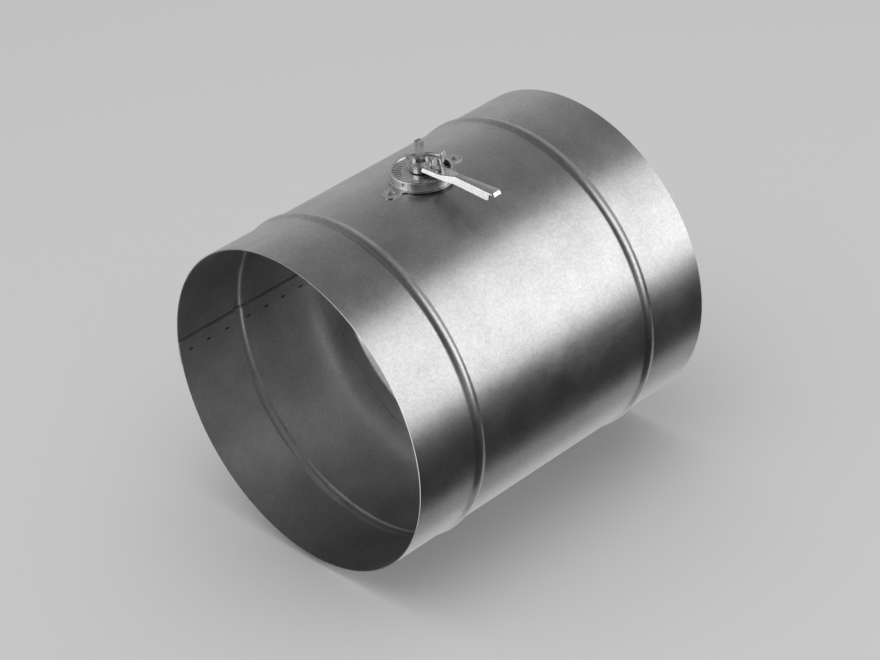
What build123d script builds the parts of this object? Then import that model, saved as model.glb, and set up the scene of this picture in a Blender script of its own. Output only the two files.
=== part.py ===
from build123d import *
from math import atan2, cos, degrees, hypot, radians, sin, sqrt, tan
import os

# Round volume damper for 315 mm ventilation duct, in millimetres.
# The duct axis is X and the front opening lies at x = 0. Z runs up along the blade shaft to the
# hand quadrant, and the handle points along -Y while the blade is closed.

# Casing
duct_radius = 157.0          # outer radius of the rolled sheet, made to push into a 315 mm duct
casing_length = 359.0        # from the front opening to the rear opening
casing_sheet = 0.8           # thickness of the galvanised sheet
bead_inset = 71.5            # each opening to the middle of its stop bead
bead_half_width = 6.7        # half the width of a stop bead at its foot
bead_height = 2.2            # how far a bead stands out of the skin
bead_root_radius = 4.0       # hollow radius where a bead leaves the skin
lap_width = 25.0             # overlap of the sheet's two ends at the long seam
lap_gap = 0.1                # air left between the two layers of the lap
seam_angle = 4.6             # inner edge of the lap, from +Y towards +Z
spigot_welds = 3             # spot welds of the seam on each spigot
middle_welds = 10            # and between the beads
weld_edge = 12.5             # first and last weld from the openings
weld_pitch = 22.0            # on the spigots
weld_bead_gap = 4.3          # first weld past the foot of a bead
weld_inset = 14.0            # welds from the inner edge of the lap
weld_radius = 2.2            # pit that the welding electrode leaves on either side
weld_pit_depth = 0.2

# Blade and its shaft
shaft_offset = 3.6           # the shaft stands this far in front of the middle of the casing
blade_clearance = 1.8        # rim of the blade to the inside of the casing
blade_sheet = 1.2            # thickness of the pressed blade
swage_inset = 13.4           # flat ring between the rim and the round swage that stiffens the blade
swage_width = 24.0           # across the swage at the face of the blade
swage_floor = 6.0            # width of its flat bottom
swage_depth = 5.5            # how far it is pressed back
swage_bend_radius = 4.0
notch_gap = 1.0              # air round a bush in the notches of the blade's rim
notch_corner_radius = 1.5
shaft_size = 6.0             # side of the square shaft
shaft_above_skin = 36.5      # shaft end above the top of the casing
shaft_below_skin = 6.5       # shaft end below the bottom of the casing
shaft_end_chamfer = 0.5
saddle_pitch = 75.0          # distance from one shaft saddle to the next
saddle_width = 22.0          # along the shaft
saddle_sheet = 1.5
saddle_bend_radius = 0.4     # inside of its bends
saddle_reach = 15.0          # end of a saddle's foot from the shaft axis
saddle_fit = 0.15            # play of a saddle round the shaft
saddle_rivet_reach = 9.5     # rivets in the feet, from the shaft axis
saddle_rivet_radius = 2.0
saddle_rivet_head_radius = 3.6
saddle_rivet_head_height = 1.4

# Bearings
bush_radius = 6.0            # turning surface of the plastic shaft bushes
running_fit = 0.08           # radial play of a bush in its bearing
bearing_wall = 1.0           # wall of the steel bearing sleeves
bearing_flange_radius = 11.0
bearing_depth = 4.2          # how far a bearing sleeve reaches in from the skin
seat_gap = 0.05              # what lies on the curved skin stands this far off its crown
punched_fit = 0.1            # radial play of a sleeve or a rivet in its punched hole
bush_flange_radius = 9.0
bush_flange_height = 1.6
bush_end_gap = 0.3           # end play of a bush flange under its bearing
clip_radius = 8.0            # push-on clip at the foot of the shaft
clip_sheet = 0.6
clip_gap = 0.3               # between the clip and the lower bearing
clip_prong_width = 1.6       # slots that part the clip's prongs
clip_prong_reach = 5.6

# Quadrant dial, a pressed dish that is riveted to the top of the casing
dish_sheet = 0.8
dish_flange_radius = 30.4
dish_wall_radius = 28.3      # outside of the dish wall at the rim
dish_wall_taper = 0.5        # the wall is this much wider at its foot
dish_rim_height = 9.2        # rim above the underside of the flange
dish_rim_width = 2.3
dish_recess = 1.9            # the dial face lies this far below the rim
dish_bend_radius = 1.05
dish_foot_radius = 0.6
ear_pitch = 78.0             # rivet to rivet, along the duct
ear_reach = 47.0             # tip of each ear from the shaft axis
ear_half_width = 7.6
ear_corner_radius = 5.5
ear_blend_radius = 6.0
dish_rivet_radius = 2.0
dish_rivet_head_radius = 4.0
dish_rivet_head_height = 1.4
dish_rivet_tail_radius = 2.9
dish_rivet_tail_length = 3.4
dish_rivet_tail_bend = 1.2   # rounding of the swollen tail
mandrel_radius = 0.9         # pit left in a blind rivet's head by its mandrel
slot_radius = 23.0           # middle of the curved slot from the shaft axis
slot_play = 0.1              # play of the locking screw in the slot, each side
travel = 90.0                # the handle turns this far from closed to open

# Lever, a pressed handle on a square hub
lever_sheet = 1.2
lever_rim_gap = 1.9          # lower edge of the handle's sides above the rim of the dial
lever_splay = 22.0           # the sides lean out by this angle
lever_bend_radius = 1.4      # outside of the bends between web and sides
lever_head_radius = 10.5
lever_head_gap = 1.0         # underside of the head above the dial face
lever_top = 5.8              # top of the head and the neck above the rim of the dial
lever_neck_half = 6.4        # half width of the web over the locking screw
lever_neck_end = 31.0        # where the handle starts to narrow
lever_waist_half = 3.0       # half width at the narrowest place
lever_waist_at = 46.0
lever_crank = 2.2            # the grip lies this much higher than the neck
lever_tip_half = 5.3
lever_length = 93.0          # shaft axis to the tip of the web
lever_side_gap = 3.2         # the sides stop this far short of the tip
lever_corner_radius = 2.5    # rounded lower corner of each side
lever_flap_depth = 3.4       # the end flap reaches this far down
lever_flap_splay = 28.0      # and leans out by this angle
lever_flap_inset = 1.2       # from the side of the web to the flap
pointer_reach = 21.5         # tip of the pointer tongue from the shaft axis
pointer_half_width = 2.6
pointer_tip_half_width = 1.1
hub_height = 4.2
hub_collar_radius = 5.8
hub_collar_height = 0.8
hub_fit = 0.05               # play of the square hole on the shaft, each side
set_screw_radius = 1.5
set_screw_socket = 1.5       # across flats of its hexagon socket

# Locking screw, washer and wing nut
screw_radius = 2.5
screw_head_radius = 4.0
screw_head_height = 3.0
screw_head_gap = 0.2         # head under the dial
screw_slot_width = 1.2
screw_slot_depth = 1.3
screw_above_nut = 3.0        # screw end above the wing nut's barrel
washer_radius = 5.0
washer_height = 1.0
washer_hole_play = 0.2
thread_play = 0.05
nut_foot_radius = 5.2
nut_top_radius = 4.2
nut_barrel_height = 6.5
wing_span = 26.0
wing_height = 12.5
wing_thickness = 2.2
wing_root_radius = 2.6
wing_tip_radius = 2.9
wing_root_reach = 3.2        # the root circle's middle from the screw axis
wing_edge_radius = 0.7
wing_rest_angle = 20.0       # how the wings stand in the photograph, from +X

# Places that follow from the sizes above
shaft_x = casing_length / 2 - shaft_offset
skin_top = duct_radius
inner_radius = duct_radius - casing_sheet
flange_underside = skin_top + seat_gap
flange_top = flange_underside + dish_sheet
rim_top = flange_underside + dish_rim_height
dial_face = rim_top - dish_recess
dial_underside = dial_face - dish_sheet
handle_top = rim_top + lever_top
web_underside = handle_top - lever_sheet
head_underside = dial_face + lever_head_gap
side_edge = rim_top + lever_rim_gap
grip_top = handle_top + lever_crank
bearing_bore = bush_radius + running_fit
bearing_radius = bearing_bore + bearing_wall
bearing_flange_top = skin_top + seat_gap + bearing_wall
bearing_inner_end = skin_top - bearing_depth
dial_hole = bush_radius + running_fit
slot_half_width = screw_radius + slot_play
half_shaft = shaft_size / 2
blade_face = half_shaft
blade_radius = inner_radius - blade_clearance
swage_radius = blade_radius - swage_inset - swage_width / 2
bush_inner_end = bearing_inner_end - bush_end_gap - bush_flange_height
notch_floor = bush_inner_end - notch_gap
notch_half_width = bush_flange_radius + notch_gap
washer_underside = handle_top
nut_underside = washer_underside + washer_height
screw_top = nut_underside + nut_barrel_height + screw_above_nut
bead_rise = bead_root_radius * bead_height * 2 - bead_height**2
bead_crown_radius = (bead_half_width**2 - bead_rise) / (2 * bead_height)
lap_angle = degrees(lap_width / duct_radius)
inner_turn = 90.0            # the last part of the sheet is drawn in over this angle
inner_turn_start = seam_angle + 360 - inner_turn
turn_shift = (casing_sheet + lap_gap) / (1 - cos(radians(inner_turn - lap_angle)))
weld_angle = seam_angle - degrees(weld_inset / duct_radius)


def polar(radius, angle):
    return (radius * cos(radians(angle)), radius * sin(radians(angle)))


def disc(radius, low, high):
    return Pos(0, 0, low) * extrude(Circle(radius), high - low)


def ring(outer, inner, low, high):
    return Pos(0, 0, low) * extrude(Circle(outer) - Circle(inner), high - low)


def square_bar(side, low, high):
    return Pos(0, 0, low) * extrude(Rectangle(side, side), high - low)


def bent_sheet(points, bends, thickness, side):
    """Section of a bent sheet: one of its faces as a line with bends, thickened to one side."""
    line = FilletPolyline(*points, radius=bends)
    return make_face(offset(line, amount=thickness, side=side, kind=Kind.INTERSECTION).edges())


def spun(section):
    """Turns a section drawn in (radius, height) about the Z axis."""
    return revolve(Plane.XZ * section, Axis.Z)


def domed_head(radius, base, rise):
    """Low round rivet head standing on the height base."""
    sphere = (radius**2 + rise**2) / (2 * rise)
    centre = base + rise - sphere
    halfway = atan2(radius, base - centre) / 2
    crown = (0, base + rise)
    arc = ThreePointArc((radius, base), (sphere * sin(halfway), centre + sphere * cos(halfway)), crown)
    return spun(make_face([Line((0, base), (radius, base)), arc, Line(crown, (0, base))]))


def bead_line(middle, depth):
    """One stop bead at a depth below the outer skin: a hollow root, the crown and a hollow root."""
    root = bead_root_radius + depth
    crown = bead_crown_radius - depth
    root_centre = duct_radius + bead_root_radius
    crown_centre = duct_radius + bead_height - bead_crown_radius
    turn = atan2(bead_half_width, root_centre - crown_centre)

    def point(side, x, height, radius, angle):
        return (middle + side * (x - radius * sin(angle)), height - radius * cos(angle))

    roots = []
    for side in (-1, 1):
        arc = [point(side, bead_half_width, root_centre, root, angle) for angle in (0, turn / 2, turn)]
        roots.append(ThreePointArc(*arc))
    top = (middle, crown_centre + crown)
    return [roots[0], ThreePointArc(roots[0] @ 1, top, roots[1] @ 1), roots[1]]


def casing_profile():
    """Section along the duct, as a face over the X axis."""
    beads = (bead_inset, casing_length - bead_inset)
    edges = []
    for depth in (0.0, casing_sheet):
        level = duct_radius - depth
        stops = [0.0]
        for middle in beads:
            edges += bead_line(middle, depth)
            stops += [middle - bead_half_width, middle + bead_half_width]
        stops.append(casing_length)
        for start, end in zip(stops[0::2], stops[1::2]):
            edges.append(Line((start, level), (end, level)))
    for x in (0.0, casing_length):
        edges.append(Line((x, duct_radius), (x, duct_radius - casing_sheet)))
    return Plane.XZ * make_face(edges)


def at_angle(face, angle):
    """A section drawn over +Z, turned about the duct axis to an angle counted from +Y."""
    return Rot(X=angle - 90) * face


def weld_places():
    """Places along the seam: a row of welds on each spigot and one row between the beads."""
    spigot = [weld_edge + weld_pitch * i for i in range(spigot_welds)]
    start = bead_inset + bead_half_width + weld_bead_gap
    step = (casing_length - 2 * start) / (middle_welds - 1)
    middle = [start + step * i for i in range(middle_welds)]
    return spigot + middle + [casing_length - x for x in spigot]


def spot_welds(shell):
    """Joins the two layers of the lap with weld spots and presses an electrode pit into each side."""
    drawn_in = turn_shift * (1 - cos(radians(weld_angle + 360 - inner_turn_start)))
    lap_inside = inner_radius - drawn_in
    pit_sphere = (weld_radius**2 + weld_pit_depth**2) / (2 * weld_pit_depth)
    spot = disc(weld_radius, lap_inside + casing_sheet / 2, duct_radius - casing_sheet / 2)
    inner_pit = Pos(0, 0, lap_inside + weld_pit_depth - pit_sphere) * Sphere(pit_sphere)
    outer_pit = Pos(0, 0, duct_radius - weld_pit_depth + pit_sphere) * Sphere(pit_sphere)
    places = [Pos(x, 0, 0) * Rot(X=weld_angle - 90) for x in weld_places()]
    shell += [place * spot for place in places]
    return shell - [place * pit for place in places for pit in (inner_pit, outer_pit)]


def casing():
    """One sheet rolled to a tube, its last quarter turn drawn in so that it laps under the start."""
    profile = casing_profile()
    outer_edge = seam_angle - lap_angle
    round_part = revolve(at_angle(profile, outer_edge), Axis.X, inner_turn_start - outer_edge)
    shift_y, shift_z = polar(turn_shift, inner_turn_start)
    inner_axis = Axis((0, shift_y, shift_z), (1, 0, 0))
    drawn_in = revolve(at_angle(profile, inner_turn_start), inner_axis, inner_turn)
    shell = spot_welds(round_part + drawn_in)
    bearing_hole = bearing_radius + punched_fit
    shell -= Pos(shaft_x, 0, 0) * disc(bearing_hole, inner_radius - bearing_depth, skin_top + 1)
    shell -= Pos(shaft_x, 0, 0) * disc(bearing_hole, -skin_top - 1, bearing_depth - inner_radius)
    for side in (-1, 1):
        place = Pos(shaft_x + side * ear_pitch / 2, 0, 0)
        shell -= place * disc(dish_rivet_radius + punched_fit, inner_radius - 1, skin_top + 1)
    return shell


def quadrant_dish():
    """The dial: flange with two ears, a raised rim, a sunk face and the curved slot of the screw."""
    foot_radius = dish_wall_radius + dish_wall_taper
    inner_rim = dish_wall_radius - dish_rim_width
    points = [
        (dial_hole, dial_face),
        (inner_rim - dish_wall_taper, dial_face),
        (inner_rim, rim_top),
        (dish_wall_radius, rim_top),
        (foot_radius, flange_top),
        (dish_flange_radius, flange_top),
    ]
    bends = [dish_foot_radius, dish_bend_radius, dish_bend_radius, dish_foot_radius]
    dish = spun(bent_sheet(points, bends, dish_sheet, Side.RIGHT))
    plan = Circle(dish_flange_radius) + RectangleRounded(
        2 * ear_reach, 2 * ear_half_width, ear_corner_radius)
    hollows = [v for v in plan.vertices() if abs(hypot(v.X, v.Y) - dish_flange_radius) < 0.01]
    plan = fillet(hollows, ear_blend_radius)
    plan -= Circle(foot_radius + dish_foot_radius)
    for side in (-1, 1):
        plan -= Pos(side * ear_pitch / 2, 0) * Circle(dish_rivet_radius + punched_fit)
    dish += Pos(0, 0, flange_underside) * extrude(plan, dish_sheet)
    middle = CenterArc((0, 0), slot_radius, -90, travel)
    slot = SlotArc(middle, 2 * slot_half_width)
    return dish - Pos(0, 0, dial_underside - 1) * extrude(slot, dish_sheet + 2)


def quadrant_rivets():
    """Two blind rivets through the ears and the skin, one solid each."""
    tail_top = inner_radius - seat_gap
    tail_end = tail_top - dish_rivet_tail_length
    tail = disc(dish_rivet_tail_radius, tail_end, tail_top)
    tail = fillet(tail.edges().filter_by(GeomType.CIRCLE), dish_rivet_tail_bend)
    rivet = domed_head(dish_rivet_head_radius, flange_top, dish_rivet_head_height)
    rivet += disc(dish_rivet_radius, tail_end, flange_top) + tail
    rivet -= disc(mandrel_radius, flange_top, flange_top + dish_rivet_head_height + 1)
    return [Pos(side * ear_pitch / 2, 0, 0) * rivet for side in (-1, 1)]


def bearing():
    """Flanged steel sleeve in the top of the casing."""
    seat = skin_top + seat_gap
    sleeve = ring(bearing_radius, bearing_bore, bearing_inner_end, bearing_flange_top)
    flange = ring(bearing_flange_radius, bearing_bore, seat, bearing_flange_top)
    return sleeve + flange


def shaft_bush(top):
    """Plastic bush with a square hole: it turns with the shaft inside a bearing sleeve."""
    flange_top = bush_inner_end + bush_flange_height
    bush = disc(bush_radius, flange_top, top)
    bush += disc(bush_flange_radius, bush_inner_end, flange_top)
    return bush - square_bar(shaft_size, bush_inner_end - 1, top + 1)


def shaft_clip():
    """Push-on spring clip that grips the foot of the shaft."""
    top = -bearing_flange_top - clip_gap
    clip = disc(clip_radius, top - clip_sheet, top)
    clip -= square_bar(shaft_size, top - clip_sheet - 1, top + 1)
    for angle in (45, 135):
        prong = Rectangle(2 * clip_prong_reach, clip_prong_width)
        clip -= Pos(0, 0, top - clip_sheet - 1) * extrude(Rot(Z=angle) * prong, clip_sheet + 2)
    lip = ring(clip_radius, clip_radius - clip_sheet, top - 2 * clip_sheet, top - clip_sheet)
    return clip + lip


def blade_shaft():
    low = -skin_top - shaft_below_skin
    high = skin_top + shaft_above_skin
    shaft = square_bar(shaft_size, low, high)
    ends = shaft.faces().sort_by(Axis.Z)
    return chamfer(ends[0].edges() + ends[-1].edges(), shaft_end_chamfer)


def blade():
    """Pressed disc behind the shaft, with a round swage and a notch for each bush."""
    swage_face = blade_face + swage_depth
    points = [
        (0, blade_face),
        (swage_radius - swage_width / 2, blade_face),
        (swage_radius - swage_floor / 2, swage_face),
        (swage_radius + swage_floor / 2, swage_face),
        (swage_radius + swage_width / 2, blade_face),
        (blade_radius, blade_face),
    ]
    bends = [swage_bend_radius] * 4
    pressed = Rot(Y=90) * spun(bent_sheet(points, bends, blade_sheet, Side.LEFT))
    notch_height = 2 * (blade_radius - notch_floor)
    notch = extrude(RectangleRounded(notch_height, 2 * notch_half_width, notch_corner_radius), blade_sheet + 2)
    for end in (-1, 1):
        pressed -= Pos(blade_face - 1, 0, end * blade_radius) * Rot(Y=90) * notch
    for height in saddle_heights():
        for side in (-1, 1):
            pressed -= Pos(0, side * saddle_rivet_reach, height) * crosswise(
                saddle_rivet_radius, blade_face - 1, blade_face + blade_sheet + 1)
    return pressed


def saddle_heights():
    return (-saddle_pitch, 0.0, saddle_pitch)


def crosswise(radius, low, high):
    """A round bar along X from low to high."""
    return Rot(Y=90) * disc(radius, low, high)


def saddle(height):
    """Bent strap that holds the shaft against the blade: two feet and a bridge."""
    side = half_shaft + saddle_fit
    points = [(blade_face, -saddle_reach), (blade_face, -side), (-side, -side),
              (-side, side), (blade_face, side), (blade_face, saddle_reach)]
    foot_bend = saddle_bend_radius + saddle_sheet
    bends = [foot_bend, saddle_bend_radius, saddle_bend_radius, foot_bend]
    strap = bent_sheet(points, bends, saddle_sheet, Side.LEFT)
    bent = Pos(0, 0, height - saddle_width / 2) * extrude(strap, saddle_width)
    for foot in (-1, 1):
        bent -= Pos(0, foot * saddle_rivet_reach, height) * crosswise(
            saddle_rivet_radius, blade_face - saddle_sheet - 1, blade_face + 1)
    return bent


def saddle_rivets(height):
    """Two solid rivets through a saddle's feet and the blade."""
    front = blade_face - saddle_sheet
    back = blade_face + blade_sheet
    rivet = disc(saddle_rivet_radius, front, back)
    rivet += domed_head(saddle_rivet_head_radius, back, saddle_rivet_head_height)
    rivet += Rot(X=180) * domed_head(saddle_rivet_head_radius, -front, saddle_rivet_head_height)
    rivet = Rot(Y=90) * rivet
    return [Pos(0, side * saddle_rivet_reach, height) * rivet for side in (-1, 1)]


def channel_section(reach, half, top):
    """Section of the handle at a reach from the shaft: a web and two sides that lean out."""
    lean = (top - side_edge) * tan(radians(lever_splay))
    points = [(-half - lean, side_edge), (-half, top), (half, top), (half + lean, side_edge)]
    section = bent_sheet(points, [lever_bend_radius] * 2, lever_sheet, Side.RIGHT)
    return Pos(0, -reach, 0) * (Plane.XZ * section)


def lever_arm():
    """Pressed channel, lofted from the head over the neck and the waist to the tip."""
    start = sqrt(lever_head_radius**2 - lever_neck_half**2)
    stations = [
        (start, lever_neck_half, handle_top),
        (lever_neck_end, lever_neck_half, handle_top),
        (lever_waist_at, lever_waist_half, grip_top),
        (lever_length, lever_tip_half, grip_top),
    ]
    arm = loft([channel_section(*station) for station in stations], ruled=True)
    end = -lever_length - 1
    side_end = lever_side_gap - lever_length
    cut = Polyline((end, grip_top - lever_sheet), (side_end, grip_top - lever_sheet),
                   (side_end, side_edge - 1), (end, side_edge - 1), close=True)
    width = 4 * lever_neck_half
    arm -= Pos(-width / 2, 0, 0) * extrude(Plane.YZ * make_face(cut.edges()), width)
    corners = arm.edges().filter_by(lambda e: abs(e.center().Y - side_end) < 0.01
                                    and abs(e.center().Z - side_edge) < lever_sheet and e.length < 2 * lever_sheet)
    return fillet(corners, lever_corner_radius)


def end_flap():
    """The tip of the web, bent down as a flap that leans out."""
    lean = lever_flap_depth * tan(radians(lever_flap_splay))
    points = [(-lever_length + 2 * lever_bend_radius, grip_top), (-lever_length, grip_top),
              (-lever_length - lean, grip_top - lever_flap_depth)]
    section = bent_sheet(points, [lever_bend_radius], lever_sheet, Side.LEFT)
    half = lever_tip_half - lever_flap_inset
    return Pos(-half, 0, 0) * extrude(Plane.YZ * section, 2 * half)


def lever():
    """Pressed steel handle: a channel with a flap at its end, an open ring head and a pointer."""
    inner = lever_head_radius - lever_sheet
    body = lever_arm() + end_flap() + disc(lever_head_radius, head_underside, handle_top)
    body -= disc(inner, head_underside - 1, handle_top + 1)
    tongue = make_face(Polyline(
        (-pointer_half_width, lever_head_radius - lever_sheet / 2),
        (-pointer_tip_half_width, pointer_reach), (pointer_tip_half_width, pointer_reach),
        (pointer_half_width, lever_head_radius - lever_sheet / 2), close=True).edges())
    body += Pos(0, 0, web_underside) * extrude(tongue, lever_sheet)
    body -= Pos(0, -slot_radius, 0) * disc(
        screw_radius + slot_play, web_underside - 1, handle_top + 1)
    middle = head_underside + hub_height / 2
    return body - Pos(0, 0, middle) * crosswise(set_screw_radius + punched_fit, half_shaft,
                                                lever_head_radius + 1)


def lever_hub():
    """Steel hub pressed into the ring head: a square hole takes the shaft."""
    radius = lever_head_radius - lever_sheet
    top = head_underside + hub_height
    hub = disc(radius, head_underside, top)
    hub += disc(hub_collar_radius, top, top + hub_collar_height)
    hub -= square_bar(shaft_size + 2 * hub_fit, head_underside - 1, top + hub_collar_height + 1)
    middle = head_underside + hub_height / 2
    return hub - Pos(0, 0, middle) * crosswise(set_screw_radius, half_shaft, radius + 1)


def lever_set_screw():
    """Headless screw through the ring and the hub that bites on the shaft."""
    middle = head_underside + hub_height / 2
    screw = crosswise(set_screw_radius, half_shaft, lever_head_radius - lever_sheet / 2)
    outer = lever_head_radius - lever_sheet / 2
    socket = RegularPolygon(set_screw_socket / 2, 6, major_radius=False)
    screw -= Pos(outer - set_screw_radius, 0, 0) * Rot(Y=90) * extrude(socket, set_screw_radius + 1)
    return Pos(0, 0, middle) * screw


def locking_screw():
    """Slotted cheese-head screw: its head slides under the dial as the handle turns."""
    head_top = dial_underside - screw_head_gap
    screw = disc(screw_head_radius, head_top - screw_head_height, head_top)
    screw = fillet(screw.edges().sort_by(Axis.Z)[0], screw_slot_depth / 3)
    slot = Box(2 * screw_head_radius, screw_slot_width, screw_slot_depth,
               align=(Align.CENTER, Align.CENTER, Align.MIN))
    screw -= Pos(0, 0, head_top - screw_head_height) * slot
    shank = disc(screw_radius, head_top, screw_top)
    shank = chamfer(shank.edges().sort_by(Axis.Z)[-1], screw_slot_depth / 2)
    return Pos(0, -slot_radius, 0) * (screw + shank)


def locking_washer():
    washer = ring(washer_radius, screw_radius + washer_hole_play, washer_underside, nut_underside)
    return Pos(0, -slot_radius, 0) * washer


def wing_nut():
    """Tapered barrel with two rounded wings."""
    outline = make_face(Polyline(
        (0, 0), (nut_foot_radius, 0), (nut_top_radius, nut_barrel_height), (0, nut_barrel_height),
        close=True).edges())
    barrel = spun(outline)
    tip_reach = wing_span / 2 - wing_tip_radius
    for side in (-1, 1):
        root = Pos(side * wing_root_reach, wing_root_radius + wing_edge_radius)
        tip = Pos(side * tip_reach, wing_height - wing_tip_radius)
        circles = (root * Circle(wing_root_radius)).edges() + (tip * Circle(wing_tip_radius)).edges()
        blank = Plane.XZ * make_hull(circles)
        wing = extrude(blank, wing_thickness / 2, both=True)
        rims = wing.edges().filter_by(lambda e: abs(abs(e.center().Y) - wing_thickness / 2) < 0.01)
        barrel += fillet(rims, wing_edge_radius)
    nut = barrel - disc(screw_radius + thread_play, -1, nut_barrel_height + 1)
    return Pos(0, -slot_radius, nut_underside) * Rot(Z=wing_rest_angle) * nut


def write(name, piece):
    """One file for one named piece, or for a group of like pieces as separate solids."""
    if isinstance(piece, list):
        piece = Compound(children=[solid for part in piece for solid in part.solids()])
    export_step(piece, os.path.join("parts", name + ".step"))


def on_shaft(piece):
    """Moves a piece drawn round the Z axis to the shaft's place on the casing."""
    if isinstance(piece, list):
        return [Pos(shaft_x, 0, 0) * one for one in piece]
    return Pos(shaft_x, 0, 0) * piece


def main():
    os.makedirs("parts", exist_ok=True)
    lower, middle, upper = saddle_heights()
    upper_bush_top = head_underside - bush_end_gap
    lower_bush_top = bearing_flange_top
    pieces = {
        "quadrant_dish": quadrant_dish(),
        "quadrant_rivets": quadrant_rivets(),
        "upper_bearing": bearing(),
        "lower_bearing": Rot(X=180) * bearing(),
        "upper_shaft_bush": shaft_bush(upper_bush_top),
        "lower_shaft_bush": Rot(X=180) * shaft_bush(lower_bush_top),
        "shaft_clip": shaft_clip(),
        "blade_shaft": blade_shaft(),
        "blade": blade(),
        "upper_saddle": saddle(upper),
        "middle_saddle": saddle(middle),
        "lower_saddle": saddle(lower),
        "upper_saddle_rivets": saddle_rivets(upper),
        "middle_saddle_rivets": saddle_rivets(middle),
        "lower_saddle_rivets": saddle_rivets(lower),
        "lever": lever(),
        "lever_hub": lever_hub(),
        "lever_set_screw": lever_set_screw(),
        "locking_screw": locking_screw(),
        "locking_washer": locking_washer(),
        "wing_nut": wing_nut(),
    }
    write("casing", casing())
    for name, piece in pieces.items():
        write(name, on_shaft(piece))


if __name__ == "__main__":
    main()
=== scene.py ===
"""Looks of a round volume damper for ventilation duct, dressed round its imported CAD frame."""

import math
import random

import bmesh
import bpy
from bpy.props import FloatProperty, FloatVectorProperty, IntProperty, PointerProperty
from mathutils import Matrix, Vector


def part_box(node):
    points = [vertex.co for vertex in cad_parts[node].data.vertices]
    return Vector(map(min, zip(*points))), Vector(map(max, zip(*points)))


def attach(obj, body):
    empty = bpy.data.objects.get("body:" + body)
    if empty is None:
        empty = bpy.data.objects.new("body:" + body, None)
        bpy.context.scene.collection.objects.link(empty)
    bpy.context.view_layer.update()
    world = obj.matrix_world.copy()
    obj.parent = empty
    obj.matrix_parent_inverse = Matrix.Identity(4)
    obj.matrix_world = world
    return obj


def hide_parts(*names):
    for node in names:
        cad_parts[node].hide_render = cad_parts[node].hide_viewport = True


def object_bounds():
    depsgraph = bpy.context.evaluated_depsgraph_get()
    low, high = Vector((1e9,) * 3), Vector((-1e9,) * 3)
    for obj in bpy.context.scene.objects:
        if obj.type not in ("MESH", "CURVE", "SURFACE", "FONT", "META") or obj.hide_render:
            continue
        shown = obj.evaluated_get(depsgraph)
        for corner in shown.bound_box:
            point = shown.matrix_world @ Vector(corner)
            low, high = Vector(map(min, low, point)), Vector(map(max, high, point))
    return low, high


bl_info = {
    "name": "Round volume damper",
    "version": (1, 0, 0),
    "blender": (4, 5, 0),
    "location": "View3D > Sidebar > Damper",
    "description": "Finishes, fine parts and studio of a round duct damper with a hand quadrant",
    "category": "Object",
}

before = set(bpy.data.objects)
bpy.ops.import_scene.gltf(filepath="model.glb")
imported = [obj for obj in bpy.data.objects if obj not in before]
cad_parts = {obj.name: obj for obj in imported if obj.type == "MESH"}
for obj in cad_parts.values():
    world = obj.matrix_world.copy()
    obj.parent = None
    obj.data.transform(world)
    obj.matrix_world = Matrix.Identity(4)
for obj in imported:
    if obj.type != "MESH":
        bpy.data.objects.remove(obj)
cad_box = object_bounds()

MM = 0.001
FULL_TURN = 2 * math.pi
CASING_BODY = "casing_and_quadrant"
BLADE_BODY = "blade_and_lever"


def linear(hex_colour):
    """An sRGB hex value as the linear colour that a shader takes."""
    channels = [int(hex_colour[i:i + 2], 16) / 255 for i in (1, 3, 5)]
    return tuple(c / 12.92 if c <= 0.04045 else ((c + 0.055) / 1.055) ** 2.4
                 for c in channels) + (1.0,)


def colour(name, description, hex_colour):
    """A colour that a user can change."""
    return FloatVectorProperty(name=name, description=description, default=linear(hex_colour),
                               subtype="COLOR", size=4, min=0.0, max=1.0)


def size(name, description, millimetres):
    """A length that a user can change."""
    return FloatProperty(name=name, description=description, default=millimetres * MM,
                         unit="LENGTH", precision=5)


def slant(name, description, degrees):
    """An angle that a user can change."""
    return FloatProperty(name=name, description=description, default=math.radians(degrees),
                         subtype="ANGLE")


def power(name, description, watts):
    """A lamp's power that a user can change."""
    return FloatProperty(name=name, description=description, default=watts, unit="POWER")


# Sizes and colours that a user would change


class SheetLook(bpy.types.PropertyGroup):
    """Galvanised sheet of the casing and the blade."""

    dark: colour("Dark crystals", "Darker tone of the zinc crystals", "#ABABAB")
    light: colour("Light crystals", "Lighter tone of the zinc crystals", "#CACACA")
    crystal: size("Crystal size", "Width of one zinc crystal", 1.6)
    cloud: size("Cloud size", "Width of the slow changes of tone", 38.0)
    swage_shift: size("Swage shift", "How far the blade's swage lies inside the CAD's one", 7.0)
    rim_growth: size("Rim growth", "How far the blade's rim lies outside the CAD's one", 1.2)


class SeamLook(bpy.types.PropertyGroup):
    """Scorched spots of the long seam, and a line of painted shade along its lap's edge."""

    # The burn colour also darkens the line of painted shade along the lap's edge.
    burn: colour("Burn", "Scorched zinc", "#2A2928")
    length: size("Length", "Length of a scorched spot along the duct", 6.2)
    width: size("Width", "Width of a scorched spot", 3.0)
    angle: slant("Angle", "Row of welds, from +Y towards +Z", -0.51)
    lap_edge: slant("Lap edge", "Inner edge of the lap, from +Y towards +Z", 4.62)
    # The dark line along the lap's edge is painted shade, standing for the dark gap of the lap.
    painted_shade_line: size("Painted shade line", "Width of the dark line along the lap's edge", 1.2)
    edge: size("Edge", "First weld from an opening", 12.5)
    pitch: size("Pitch", "From weld to weld on a spigot", 22.0)
    spigot_count: IntProperty(name="On a spigot", description="Welds on each spigot", default=3)
    middle_start: size("Middle start", "First weld of the middle row from an opening", 82.5)
    middle_count: IntProperty(name="In the middle", description="Welds between the beads",
                              default=10)


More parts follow.
